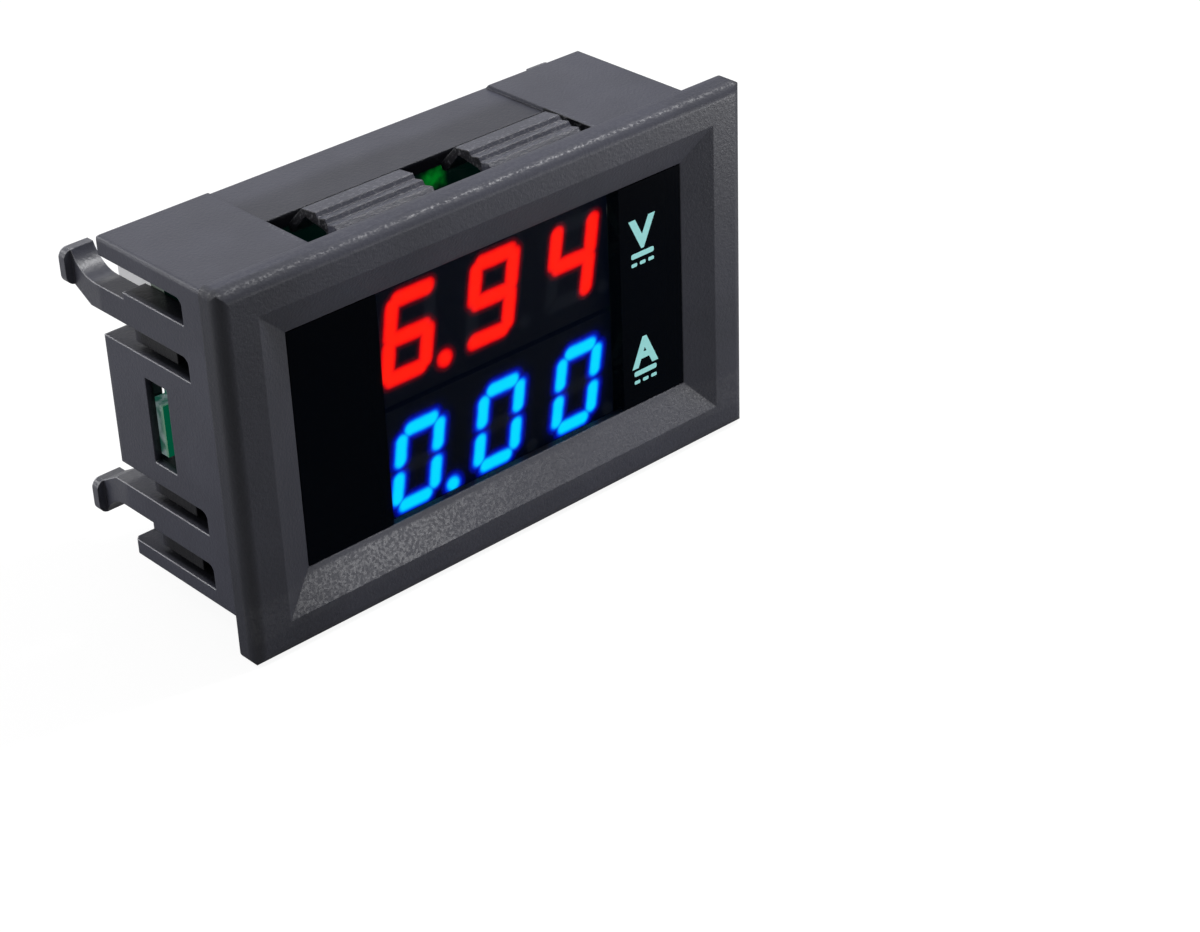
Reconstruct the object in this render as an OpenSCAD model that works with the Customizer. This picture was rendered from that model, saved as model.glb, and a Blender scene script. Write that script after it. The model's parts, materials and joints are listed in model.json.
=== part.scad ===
// Two-row digital panel meter: voltage above, current below.
// A moulded housing snaps into a rectangular panel cut-out from the front.
// Frame: +X to the right seen from the front, +Y rearward, +Z up.
// The origin is the centre of the bezel's back plane, which seats on the panel.

/* [Bezel] */
// Width of the bezel
bezel_w = 48; // [47.5:0.5:52]
// Height of the bezel
bezel_h = 29; // [28.5:0.5:32]
// Depth of the bezel in front of the panel
bezel_t = 2.05; // [1.9:0.05:2.4]
// Rounding along the front edges of the bezel
bezel_edge_r = 0.9; // [0.4:0.1:1]
// Rounding of the bezel's four corners
bezel_corner_r = 0.6; // [0.3:0.1:1]
// Width of the flat rim left and right of the sloped frame
rim_w = 3.1; // [2.6:0.1:3.3]
// Width of the flat rim above and below the sloped frame
rim_h = 2.6; // [2.2:0.1:2.8]
// Depth of the front window below the bezel's front face
window_set = 0.95; // [0.7:0.05:1.05]
// Thickness of the lip that frames the window
window_lip = 0.6; // [0.5:0.05:0.8]

/* [Window] */
// Width of the front window opening
window_w = 36.6; // [36:0.1:37.4]
// Height of the front window opening
window_h = 18.5; // [18:0.1:19]
// Height of the window's centre above the bezel's centre
window_rise = 0.2; // [0:0.1:0.3]
// Thickness of the window plate's flange behind the lip
window_flange_t = 0.6; // [0.5:0.1:0.8]
// Clearance between the window plate and the housing
window_gap = 0.08; // [0.05:0.01:0.12]

/* [Body] */
// Width of the body behind the panel
body_w = 45; // [44.6:0.1:45.4]
// Height of the body behind the panel
body_h = 25.85; // [25.5:0.05:26.2]
// Depth of the body's walls behind the panel
body_d = 14.4; // [14:0.1:15]
// Thickness of the left and right walls
side_wall = 1.9; // [1.7:0.05:2]
// Thickness of the top and bottom walls
flat_wall = 1.3; // [1.15:0.05:1.4]
// Rounding of the body's four long edges
body_edge_r = 0.35; // [0.2:0.05:0.5]
// Bevel round the rear rim
rim_bevel = 0.3; // [0.2:0.05:0.4]

/* [Latch arms] */
// Distance from the bezel's back to the blind end of each slot
slot_start = 4.45; // [4:0.05:5]
// Half height of the fixed centre panel between the arms
panel_half = 5.15; // [5:0.05:5.3]
// Width of the slot between the centre panel and an arm
slot_inner = 1.85; // [1.75:0.05:2]
// Height of a latch arm
arm_h = 2.5; // [2.3:0.05:2.6]
// Width of the slot between an arm and the corner of the body
slot_outer = 2.0; // [1.8:0.05:2.1]
// Rounding in the slots' blind ends
slot_r = 0.6; // [0.4:0.1:0.8]
// Drop of the arm's neck below its root
neck_drop = 0.5; // [0.4:0.05:0.6]
// Distance from the bezel's back to the step at the neck
neck_start = 11.6; // [11:0.1:12]
// Distance from the bezel's back to the foot of the hook
hook_start = 15.1; // [14.8:0.1:15.3]
// Distance from the bezel's back to the rear face of the hook
hook_end = 18.4; // [18.2:0.1:18.6]
// Height of the hook above the neck
hook_h = 1.7; // [1.5:0.1:1.9]
// Thickness of the finger lip on the hook
lip_t = 0.7; // [0.6:0.05:0.8]
// Outward reach of the finger lip
lip_out = 0.6; // [0.4:0.05:0.7]
// Rounding of the finger lip's outer corners
lip_r = 0.7; // [0.4:0.1:0.8]
// Thickness of the skin outside the inner webs
skin_t = 0.6; // [0.5:0.05:0.75]

/* [Gripping tongues] */
// Width of the shallow channel in the top and bottom faces
channel_w = 26.1; // [25.9:0.1:26.4]
// Depth of the shallow channel
channel_dip = 0.3; // [0.2:0.05:0.35]
// Distance from the bezel's back to the tongue opening
tongue_front = 2.6; // [2.4:0.05:2.7]
// Depth of the tongue opening along the body
tongue_d = 5.3; // [5.1:0.1:5.5]
// Length of each tongue across the body
tongue_w = 8.7; // [8.3:0.1:9]
// Gap between the two tongues of a pair
tongue_gap = 5.1; // [4.9:0.1:5.3]
// Height of a tongue's crest above the body's face
tongue_rise = 1.1; // [0.9:0.05:1.2]
// Number of saw-tooth ribs on a tongue
rib_count = 3; // [2:1:4]
// Depth of a saw-tooth rib
rib_dip = 0.34; // [0.3:0.02:0.4]

/* [Displays] */
// Width of one three-digit display
display_w = 22.6; // [22:0.1:23]
// Height of one display
display_h = 10; // [9.8:0.1:10.2]
// Depth of one display
display_d = 6.1; // [5.9:0.1:6.3]
// Distance between the centres of the two displays
display_step = 10.4; // [10.3:0.1:10.6]
// Sideways offset of the displays
display_shift = 0.7; // [0.3:0.1:1]
// Height of the displays' middle above the bezel's centre
display_rise = -0.65; // [-0.7:0.05:-0.3]
// Distance from one digit to the next
digit_pitch = 7.7; // [7.5:0.05:7.8]
// Width of a digit
digit_w = 4.6; // [4:0.1:4.8]
// Height of a digit
digit_h = 7; // [6.2:0.1:7.2]
// Width of a segment
segment_w = 1.1; // [0.8:0.05:1.2]
// Gap between neighbouring segments
segment_gap = 0.12; // [0.08:0.01:0.16]
// Depth of a segment's light guide
segment_d = 0.4; // [0.3:0.05:0.6]
// Cut across the outer corners of a digit
corner_cut = 0.5; // [0.3:0.05:0.7]
// Lean of the digits in degrees
digit_lean = 10; // [5:1:12]
// Diameter of a decimal point
point_d = 1.1; // [0.9:0.05:1.2]
// Spacing of the display's pins
pin_pitch = 2.54; // [2.5:0.01:2.6]
// Distance between the two pin rows of a display
pin_row = 7.62; // [7.5:0.01:7.7]
// Thickness of a display's pin
pin_t = 0.5; // [0.4:0.05:0.6]

/* [Circuit board] */
// Thickness of the circuit board
board_t = 1.6; // [1.4:0.1:1.7]
// Distance from the bezel's back to the front of the circuit board
board_y = 9.5; // [9.2:0.05:9.7]
// Clearance between the circuit board and the walls
board_gap = 0.1; // [0.08:0.02:0.2]
// Top of the board's side tab
tab_top = 1.05; // [0.8:0.05:1.5]
// Height of the board's side tab
tab_h = 4.1; // [3.8:0.1:4.4]
// Height of the side window
port_h = 6.8; // [6.6:0.1:7]
// Depth of the side window
port_d = 2.6; // [2.4:0.1:2.7]

/* [Trimmers] */
// Side of a trimmer's square base
trimmer_w = 3.6; // [3.4:0.1:3.8]
// Height of a trimmer's base
trimmer_h = 1.3; // [1.2:0.05:1.4]
// Diameter of a trimmer's rotor
rotor_d = 2.6; // [2.4:0.1:2.7]
// Diameter of the rotor's shaft
rotor_shaft_d = 1.0; // [0.8:0.1:1.1]
// Running clearance round the rotor and its shaft
rotor_gap = 0.05; // [0.03:0.01:0.08]

/* [Connectors] */
// Length of the power header
power_l = 8.2; // [8:0.1:8.4]
// Width of the power header
power_w = 7.2; // [7:0.1:7.4]
// Height of the power header
power_h = 8.0; // [7.6:0.1:8.2]
// Spacing of the power header's contacts
power_pitch = 3.96; // [3.9:0.01:4]
// Thickness of a power contact
power_pin_t = 1.14; // [1:0.01:1.2]
// Length of the signal header
signal_l = 9.9; // [9.7:0.1:10.1]
// Width of the signal header
signal_w = 5.75; // [5.6:0.05:5.9]
// Height of the signal header
signal_h = 7.0; // [6.8:0.1:7.2]
// Spacing of the signal header's contacts
signal_pitch = 2.5; // [2.45:0.01:2.54]
// Thickness of a signal contact
signal_pin_t = 0.64; // [0.6:0.01:0.7]
// Thickness of the headers' walls
header_wall = 0.8; // [0.7:0.05:0.9]

/* [Hidden] */
$fn = 32;

// A little more than a wall, so that a cut runs clear through it
over = 0.5;

// Depths behind the bezel's back plane, front to rear
face_y = -bezel_t;
lens_y = face_y + window_set;
lip_y = lens_y + window_lip;
flange_end = lip_y + window_flange_t;
display_y = flange_end + window_gap;
display_back = display_y + display_d;
board_back = board_y + board_t;

// Half sizes of the body and of the bay inside it
side_x = body_w / 2;
inner_x = side_x - side_wall;
top_z = body_h / 2;
inner_z = top_z - flat_wall;
board_x = inner_x - board_gap;
board_z = inner_z - board_gap;

// Heights of the slots and arms, measured from the middle of the side wall
arm_in = panel_half + slot_inner;
arm_out = arm_in + arm_h;
neck_z = arm_out - neck_drop;
hook_z = neck_z + hook_h;
slot_top = arm_out + slot_outer;
hook_toe = arm_in + (arm_h - neck_drop) / 2;
lip_y0 = hook_end - lip_t;
flare_run = lip_y0 - hook_start;
flare_r = (flare_run * flare_run + hook_h * hook_h) / (2 * hook_h);
web_y = slot_start + side_wall + slot_r / 2;
web_gap = slot_inner / 5;
port_y = board_y - 1.9;
tab_room = 0.3;

// Tongues
tongue_end = tongue_front + tongue_d;
leaf_t = flat_wall * 0.27;
heel_y = tongue_end - tongue_d * 0.1;
heel_z = inner_z + leaf_t * 1.3;
channel_z = top_z - channel_dip;
channel_y = tongue_front + leaf_t;
land_y = tongue_front + tongue_d * 0.57;
crest_y = tongue_front + tongue_d * 0.29;
crest_z = top_z + tongue_rise;
foot_y = tongue_front - tongue_d * 0.1;
face_fall = tongue_rise * 0.3;
rib_pitch = (crest_y - foot_y) / (rib_count - 1);

// Displays
voltage_z = display_rise + display_step / 2;
current_z = display_rise - display_step / 2;
pins_per_row = 6;
solder_h = 0.7;
pin_reach = board_back + 1.0;
pin_bore = pin_t * 1.7;
pin_xs = [for (i = [0 : pins_per_row - 1]) display_shift + (i - (pins_per_row - 1) / 2) * pin_pitch];

// Places on the rear of the board, kept from its edges and from the connectors
power_x = -(board_x - 3.5 - power_w / 2);
power_z = board_z - 2.3 - power_l / 2;
signal_x = -(board_x - 1.25 - signal_l / 2);
signal_z = -(board_z - 0.9 - signal_w / 2);
controller_at = [board_x - 5.3, 3.6];
amplifier_at = [signal_x + signal_l / 2 - 0.9, signal_z + signal_w / 2 + 2.5];
regulator_at = [board_x - 3.4, -8.0];
diode_at = [board_x - 4.8, -2.4];
current_trimmer_at = [-1.6, 4.4];
voltage_trimmer_at = [11.3, -5.1];

// Small chips: [x, z, length along X, length along Z]
small = 1.0;
large = 1.8;
resistors = [
    for (i = [0 : 3]) [9.3, 0.6 + i * 1.4, large, small],
    for (i = [-1 : 1]) [-5.5, 4.1 + i * 1.5, large, small],
    [7.4, -5.6, small, large], [-6.6, -6.4, small, large]
];
capacitors = [
    [board_x - 2.2, -4.3, small, large], [board_x - 4.2, -4.3, small, large],
    [-8.1, -7.0, small, large], [board_x - 1.9, -1.7, small, large],
    [12.2, -0.9, large, small], [6.3, 3.0, small, large], [6.3, 5.6, small, large]
];
chip_t = 0.5;

// Row of plated holes for the programming pins, and two larger ones beside the controller
via_x = board_x - 0.75;
via_zs = [for (i = [0 : 8]) 8.3 - i * 1.27];
via_d = 0.6;
test_holes = [[board_x - 1.8, 8.9], [board_x - 4.1, 8.9]];
test_hole_d = 0.9;

header_floor = 1.6;
header_leg = 1.3;
signal_pin_recess = 1.5;
power_pin_recess = 1.2;

// ---- Helpers ---------------------------------------------------------------

// Box between two corners
module span(a, b) translate(a) cube(b - a);

// Outline with X across and Z up, run along Y
module along_y(y0, y1) translate([0, y1, 0]) rotate([90, 0, 0]) linear_extrude(y1 - y0) children();

// Outline with Y across and Z up, run along X
module along_x(x0, x1) translate([x0, 0, 0]) rotate([90, 0, 90]) linear_extrude(x1 - x0) children();

// Outline with X across and Y up, run along Z
module along_z(z0, z1) translate([0, 0, z0]) linear_extrude(z1 - z0) children();

module both_sides() for (s = [0, 1]) mirror([s, 0, 0]) children();
module both_heights() for (s = [0, 1]) mirror([0, 0, s]) children();

// Rectangle with round corners
module rounded(w, h, r) {
    square([w - 2 * r, h], center = true);
    square([w, h - 2 * r], center = true);
    for (x = [-1, 1], y = [-1, 1]) translate([x * (w / 2 - r), y * (h / 2 - r)]) circle(r);
}

// Side view of a plate whose front corners, at -depth, are rounded
module front_rounded(depth, w, r) {
    translate([-depth + r, -w / 2]) square([depth - r, w]);
    translate([-depth, -w / 2 + r]) square([depth, w - 2 * r]);
    for (s = [-1, 1]) translate([-depth + r, s * (w / 2 - r)]) circle(r);
}

// Block seen along one of its sides, across and then rearward, with bevelled rear corners
module rear_bevelled(w, depth, b) polygon([
    [-w / 2, -over], [w / 2, -over], [w / 2, depth - b],
    [w / 2 - b, depth], [-w / 2 + b, depth], [-w / 2, depth - b]
]);

// ---- Housing ---------------------------------------------------------------

module bezel_block() intersection() {
    along_y(face_y, 0) rounded(bezel_w, bezel_h, bezel_corner_r);
    along_x(-bezel_w, bezel_w) front_rounded(bezel_t, bezel_h, bezel_edge_r);
    along_z(-bezel_h, bezel_h) rotate(90) front_rounded(bezel_t, bezel_w, bezel_edge_r);
}

module body_block() intersection() {
    along_y(-over, body_d) rounded(body_w, body_h, body_edge_r);
    along_x(-body_w, body_w) mirror([1, -1]) rear_bevelled(body_h, body_d, rim_bevel);
    along_z(-body_h, body_h) rear_bevelled(body_w, body_d, rim_bevel);
}

// Sloped frame round the window, open towards the front
module frame_slope() intersection() {
    along_z(-bezel_h, bezel_h) polygon([
        [-bezel_w / 2 + rim_w, face_y], [-window_w / 2, lens_y],
        [window_w / 2, lens_y], [bezel_w / 2 - rim_w, face_y],
        [bezel_w / 2 - rim_w, face_y - over], [-bezel_w / 2 + rim_w, face_y - over]
    ]);
    along_x(-bezel_w, bezel_w) polygon([
        [face_y, -bezel_h / 2 + rim_h], [lens_y, window_rise - window_h / 2],
        [lens_y, window_rise + window_h / 2], [face_y, bezel_h / 2 - rim_h],
        [face_y - over, bezel_h / 2 - rim_h], [face_y - over, -bezel_h / 2 + rim_h]
    ]);
}

// One slot in a side wall, from height a to height b, with a round upper corner at its blind end
module slot(a, b) {
    translate([slot_start + slot_r, a]) square([body_d, b - a]);
    translate([slot_start, a]) square([slot_r + over, b - a - slot_r]);
    translate([slot_start + slot_r, b - slot_r]) circle(slot_r);
}

module side_cuts() both_sides() {
    along_x(inner_x - over, side_x + over) {
        slot(arm_out, slot_top);
        slot(panel_half, arm_in);
        slot(-arm_in, -panel_half);
        slot(-slot_top, -arm_out);
    }
    both_heights()
        span([inner_x - over, neck_start, arm_in - over], [side_x + over, body_d + over, arm_out + over]);
    span([inner_x - over, port_y, -port_h / 2 - tab_room],
         [side_x - skin_t, board_back + board_gap, port_h / 2 + tab_room]);
    span([inner_x, port_y, -port_h / 2], [side_x + over, port_y + port_d, port_h / 2]);
}

// Neck, hook and toe of one latch arm, in the upper right corner
module arm_outline() difference() {
    polygon([
        [neck_start - over, arm_in], [hook_end - arm_h, arm_in], [lip_y0, hook_toe],
        [hook_end - lip_t / 2, hook_toe], [hook_end - lip_t / 2, hook_z],
        [hook_start, hook_z], [hook_start, neck_z], [neck_start, neck_z], [neck_start, arm_out],
        [neck_start - over, arm_out]
    ]);
    translate([hook_start, neck_z + flare_r]) circle(flare_r, $fn = 64);
}

module arm() {
    along_x(inner_x, side_x) arm_outline();
    along_y(lip_y0, hook_end) lip_outline();
}

// Rear view of the finger lip, with round outer corners
module lip_outline() {
    lip_x = side_x + lip_out;
    translate([inner_x, hook_toe]) square([lip_x - lip_r - inner_x, hook_z - hook_toe]);
    translate([inner_x, hook_toe + lip_r]) square([lip_x - inner_x, hook_z - hook_toe - 2 * lip_r]);
    for (z = [hook_toe + lip_r, hook_z - lip_r]) translate([lip_x - lip_r, z]) circle(lip_r);
}

// Inner webs that screen the slots: each hangs from the piece above it
web_heights = [
    [panel_half + web_gap, arm_in + over],
    [-arm_in + web_gap, -panel_half + over],
    [-slot_top + web_gap, -arm_out + over]
];
module webs() for (z = web_heights)
    span([inner_x, web_y, z[0]], [side_x - skin_t, neck_start, z[1]]);

// Side view of a gripping tongue: a thin leaf rooted on the strip by the bezel, with saw-tooth ribs that
// lock towards the bezel, and behind them a ramp down to a free heel inside the body
rib_fall = face_fall / (rib_count - 1);
rib_tops = [for (i = [0 : rib_count - 1]) [crest_y - i * rib_pitch, crest_z - i * rib_fall]];
module tongue_outline() polygon(concat(
    [[heel_y, heel_z], [land_y, crest_z - rib_dip / 2]],
    [for (i = [0 : rib_count - 2]) each [rib_tops[i], rib_tops[i] - [rib_pitch * 0.25, rib_dip]]],
    [
        rib_tops[rib_count - 1],
        [foot_y - tongue_rise * 0.7, top_z],
        [foot_y - tongue_rise * 0.7, top_z - over],
        [tongue_front - over, top_z - over],
        [tongue_front - over, top_z - leaf_t],
        [tongue_front + 2 * leaf_t, crest_z - face_fall - rib_dip - leaf_t],
        [land_y - leaf_t, crest_z - rib_dip - leaf_t],
        [heel_y - 1.6 * leaf_t, inner_z],
        [heel_y - leaf_t / 2, inner_z]
    ]
));

module tongues() both_heights() both_sides()
    along_x(tongue_gap / 2, tongue_gap / 2 + tongue_w) tongue_outline();

module housing() color([0.3, 0.3, 0.33]) {
    difference() {
        union() {
            bezel_block();
            body_block();
            both_sides() span([inner_x, over, -panel_half], [side_x, body_d + rim_bevel, panel_half]);
        }
        span([-inner_x, lip_y, -inner_z], [inner_x, body_d + 2 * over, inner_z]);
        span([-window_w / 2, face_y - over, window_rise - window_h / 2],
             [window_w / 2, over, window_rise + window_h / 2]);
        frame_slope();
        side_cuts();
        both_heights() {
            span([-channel_w / 2, channel_y, channel_z], [channel_w / 2, body_d + over, top_z + over]);
            span([-channel_w / 2, tongue_front, inner_z - over], [channel_w / 2, tongue_end, top_z + over]);
        }
    }
    both_heights() both_sides() arm();
    both_sides() webs();
    tongues();
}

module front_window() color([0.03, 0.04, 0.07, 0.9]) {
    span([-window_w / 2 + window_gap, lens_y, window_rise - window_h / 2 + window_gap],
         [window_w / 2 - window_gap, lip_y, window_rise + window_h / 2 - window_gap]);
    span([-inner_x + window_gap, lip_y, -inner_z + window_gap],
         [inner_x - window_gap, flange_end, inner_z - window_gap]);
}

// ---- Displays --------------------------------------------------------------

// Segments run in the order a to g; each digit lists which of them are lit
six = [1, 0, 1, 1, 1, 1, 1];
nine = [1, 1, 1, 1, 0, 1, 1];
four = [0, 1, 1, 0, 0, 1, 1];
zero = [1, 1, 1, 1, 1, 1, 0];
voltage_digits = [six, nine, four];
current_digits = [zero, zero, zero];
dot_after = 0;

dw = digit_w / 2;
dh = digit_h / 2;
sw = segment_w;
sg = segment_gap;

half_cut = (corner_cut - sg) / 2;
level = [
    [-dw + corner_cut, dh], [dw - corner_cut, dh], [dw - half_cut - sg, dh - half_cut],
    [dw - sw - sg, dh - sw], [-dw + sw + sg, dh - sw], [-dw + half_cut + sg, dh - half_cut]
];
upright = [
    [dw, dh - corner_cut], [dw, sg], [dw - sw / 2, sg / 2], [dw - sw, sw / 2 + sg / 2],
    [dw - sw, dh - sw - sg], [dw - half_cut, dh - half_cut - sg]
];
middle = [
    [-dw + sw / 2 + sg, 0], [-dw + sw + sg, sw / 2], [dw - sw - sg, sw / 2],
    [dw - sw / 2 - sg, 0], [dw - sw - sg, -sw / 2], [-dw + sw + sg, -sw / 2]
];

function flip(points, x, z) = [for (p = points) [p[0] * x, p[1] * z]];
function lean(points) = [for (p = points) [p[0] + p[1] * tan(digit_lean), p[1]]];
segments = [
    level, upright, flip(upright, 1, -1), flip(level, 1, -1),
    flip(upright, -1, -1), flip(upright, -1, 1), middle
];

// The segments of one display whose state is lit, with its decimal points
module glyphs(digits, lit) for (i = [0 : 2]) translate([display_shift + (i - 1) * digit_pitch, 0]) {
    for (k = [0 : 6]) if (digits[i][k] == lit) polygon(lean(segments[k]));
    if ((i == dot_after ? 1 : 0) == lit)
        translate([dw + point_d * 0.65, point_d * 0.3 - dh]) circle(point_d / 2);
}

module lit_glyphs(digits, z) translate([0, 0, z])
    along_y(display_y, display_y + segment_d) glyphs(digits, 1);
module dark_glyphs(digits, z) translate([0, 0, z])
    along_y(display_y, display_y + segment_d) glyphs(digits, 0);

module display_case(digits, z) color([0.08, 0.08, 0.1]) difference() {
    span([display_shift - display_w / 2, display_y, z - display_h / 2],
         [display_shift + display_w / 2, display_back, z + display_h / 2]);
    lit_glyphs(digits, z);
    dark_glyphs(digits, z);
}

module display_pins(z) color([0.75, 0.75, 0.72])
    for (x = pin_xs, side = [-1, 1]) translate([x, 0, z + side * pin_row / 2])
        span([-pin_t / 2, display_back, -pin_t / 2], [pin_t / 2, pin_reach, pin_t / 2]);

module voltage_display_case() display_case(voltage_digits, voltage_z);
module voltage_lit_segments() color([1, 0.1, 0.02]) lit_glyphs(voltage_digits, voltage_z);
module voltage_dark_segments() color([0.12, 0.12, 0.15]) dark_glyphs(voltage_digits, voltage_z);
module voltage_display_pins() display_pins(voltage_z);
module current_display_case() display_case(current_digits, current_z);
module current_lit_segments() color([0, 0.75, 1]) lit_glyphs(current_digits, current_z);
module current_dark_segments() color([0.12, 0.12, 0.15]) dark_glyphs(current_digits, current_z);
module current_display_pins() display_pins(current_z);

// ---- Circuit board ---------------------------------------------------------

power_pins = [for (s = [-1, 1]) [power_x, power_z + s * power_pitch / 2]];
signal_pins = [for (i = [-1 : 1]) [signal_x + i * signal_pitch, signal_z]];
display_pin_places = [for (x = pin_xs, z = [voltage_z, current_z], s = [-1, 1]) [x, z + s * pin_row / 2]];

// A round hole, pin or post on the Y axis at a place on the board
module post(at, d, y0, y1) translate([at[0], y1, at[1]]) rotate([90, 0, 0]) cylinder(d = d, h = y1 - y0);

module circuit_board() color([0.05, 0.3, 0.2]) difference() {
    union() {
        span([-board_x, board_y, -board_z], [board_x, board_back, board_z]);
        span([-side_x + skin_t + board_gap, board_y, tab_top - tab_h],
             [side_x - skin_t - board_gap, board_back, tab_top]);
    }
    for (p = display_pin_places) post(p, pin_bore, board_y - over, board_back + over);
    for (p = power_pins) post(p, power_pin_t * 1.5, board_y - over, board_back + over);
    for (p = signal_pins) post(p, signal_pin_t * 1.6, board_y - over, board_back + over);
    for (z = via_zs) post([via_x, z], via_d, board_y - over, board_back + over);
    for (p = test_holes) post(p, test_hole_d, board_y - over, board_back + over);
    for (t = [current_trimmer_at, voltage_trimmer_at])
        post(t, rotor_shaft_d + 4 * rotor_gap, board_y - over, board_back + over);
}

// Solder cone round each display pin, on the rear of the board
module solder_joints() color([0.8, 0.8, 0.8]) for (p = display_pin_places) difference() {
    translate([p[0], board_back, p[1]]) rotate([-90, 0, 0])
        cylinder(d1 = pin_t * 3, d2 = pin_t * 1.6, h = solder_h, $fn = 16);
    span([p[0] - pin_t / 2, board_back - over, p[1] - pin_t / 2],
         [p[0] + pin_t / 2, pin_reach, p[1] + pin_t / 2]);
}

// ---- Chips -----------------------------------------------------------------

// Size of each chip: along X, along Z, height, and the pitch, number, reach and width of its leads
controller_size = [4.4, 6.5, 1.0];
controller_leads = [0.65, 10, 1.0, 0.24];
amplifier_size = [3.9, 4.9, 1.4];
amplifier_leads = [1.27, 4, 1.05, 0.42];
regulator_size = [4.5, 2.6, 1.5];
regulator_leads = [1.5, 3, 1.2, 0.4];
chip_lift = 0.1;
lead_t = 0.2;

module chip(at, size) translate([at[0], board_back + chip_lift, at[1]])
    span([-size[0] / 2, 0, -size[1] / 2], [size[0] / 2, size[2], size[1] / 2]);

// Side view of one bent lead: out of the body, down, and flat on the board
module lead_outline(size, leads) {
    half = size[0] / 2;
    bend = half + leads[2] * 0.45;
    mid = chip_lift + size[2] / 2;
    polygon([
        [half, mid + lead_t / 2], [bend, mid + lead_t / 2], [bend + lead_t, mid - lead_t],
        [bend + lead_t, lead_t], [half + leads[2], lead_t], [half + leads[2], 0],
        [bend, 0], [bend, mid - lead_t / 2], [half, mid - lead_t / 2]
    ]);
}

module lead_rows(at, size, leads) translate([at[0], board_back, at[1]]) both_sides()
    for (i = [0 : leads[1] - 1]) translate([0, 0, (i - (leads[1] - 1) / 2) * leads[0]])
        along_z(-leads[3] / 2, leads[3] / 2) lead_outline(size, leads);

module controller_chip() color([0.15, 0.15, 0.15]) chip(controller_at, controller_size);
module amplifier_chip() color([0.15, 0.15, 0.15]) chip(amplifier_at, amplifier_size);
module regulator_chip() color([0.1, 0.1, 0.1]) chip(regulator_at, regulator_size);

regulator_edge = regulator_at[1] + regulator_size[1] / 2;
module chip_leads() color([0.8, 0.8, 0.8]) {
    lead_rows(controller_at, controller_size, controller_leads);
    lead_rows(amplifier_at, amplifier_size, amplifier_leads);
    for (i = [-1 : 1])
        translate([regulator_at[0] + i * regulator_leads[0], board_back, regulator_edge])
        span([-regulator_leads[3] / 2, 0, 0], [regulator_leads[3] / 2, lead_t * 1.5, regulator_leads[2]]);
}

// A diode with a bevelled body
diode_size = [2.6, 1.6, 1.1];
diode_bevel = 0.2;
module diode_outline() polygon([
    [-diode_size[0] / 2, 0], [diode_size[0] / 2, 0], [diode_size[0] / 2, diode_size[2] / 2],
    [diode_size[0] / 2 - diode_bevel, diode_size[2]], [diode_bevel - diode_size[0] / 2, diode_size[2]],
    [-diode_size[0] / 2, diode_size[2] / 2]
]);
module protection_diode() color([0.2, 0.2, 0.2]) translate([diode_at[0], board_back, diode_at[1]])
    along_z(-diode_size[1] / 2, diode_size[1] / 2) diode_outline();

module small_chips(places) for (c = places) translate([c[0], board_back, c[1]])
    span([-c[2] / 2, 0, -c[3] / 2], [c[2] / 2, chip_t, c[3] / 2]);
module chip_resistors() color([0.12, 0.12, 0.12]) small_chips(resistors);
module chip_capacitors() color([0.6, 0.5, 0.4]) small_chips(capacitors);

// ---- Trimmers --------------------------------------------------------------

dish = trimmer_h * 0.55;
dish_y = board_back + trimmer_h - dish;
rotor_top = board_back + trimmer_h + 0.15;
slot_w = rotor_d * 0.16;
slot_l = rotor_d * 0.62;

module trimmer_base(at) color([0.85, 0.82, 0.75]) difference() {
    translate([at[0], 0, at[1]])
        span([-trimmer_w / 2, board_back, -trimmer_w / 2],
             [trimmer_w / 2, board_back + trimmer_h, trimmer_w / 2]);
    post(at, rotor_d + 2 * rotor_gap, dish_y, board_back + trimmer_h + over);
    post(at, rotor_shaft_d + 2 * rotor_gap, board_back - over, dish_y + over);
}

module trimmer_rotor(at) color([0.8, 0.78, 0.74]) difference() {
    union() {
        post(at, rotor_d, dish_y + rotor_gap, rotor_top);
        post(at, rotor_shaft_d, board_back - board_t / 2, dish_y + over);
    }
    translate([at[0], rotor_top, at[1]]) {
        span([-slot_l / 2, -dish / 2, -slot_w / 2], [slot_l / 2, over, slot_w / 2]);
        span([-slot_w / 2, -dish / 2, -slot_l / 2], [slot_w / 2, over, slot_l / 2]);
    }
}

module current_trimmer_base() trimmer_base(current_trimmer_at);
module current_trimmer_rotor() trimmer_rotor(current_trimmer_at);
module voltage_trimmer_base() trimmer_base(voltage_trimmer_at);
module voltage_trimmer_rotor() trimmer_rotor(voltage_trimmer_at);

// ---- Connectors ------------------------------------------------------------

// Two-way header: an open box whose outer wall stands taller, as a latch, and has a slot for the plug's catch
module power_header() color([0.9, 0.9, 0.92]) translate([power_x, board_back, power_z]) {
    difference() {
        span([-power_w / 2, 0, -power_l / 2], [power_w / 2, power_h, power_l / 2]);
        span([-power_w / 2 + header_wall, header_floor, -power_l / 2 + header_wall],
             [power_w / 2 - header_wall, power_h + over, power_l / 2 - header_wall]);
        span([-power_w / 2 - over, header_floor, -power_l * 0.32],
             [-power_w / 2 + header_wall + over, power_h + over, power_l * 0.32]);
        for (s = [-1, 1]) post([0, s * power_pitch / 2], power_pin_t * 1.45, -over, header_floor + over);
    }
    difference() {
        along_z(-power_l * 0.24, power_l * 0.24) {
            translate([-power_w / 2, 0]) square([header_wall * 1.4, power_h + 1.6]);
            translate([-power_w / 2 + header_wall * 0.7, power_h + 1.6]) circle(header_wall * 0.7);
        }
        span([-power_w, header_floor + 1.5, -power_l * 0.08],
             [0, power_h - power_pin_recess, power_l * 0.08]);
    }
}

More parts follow.
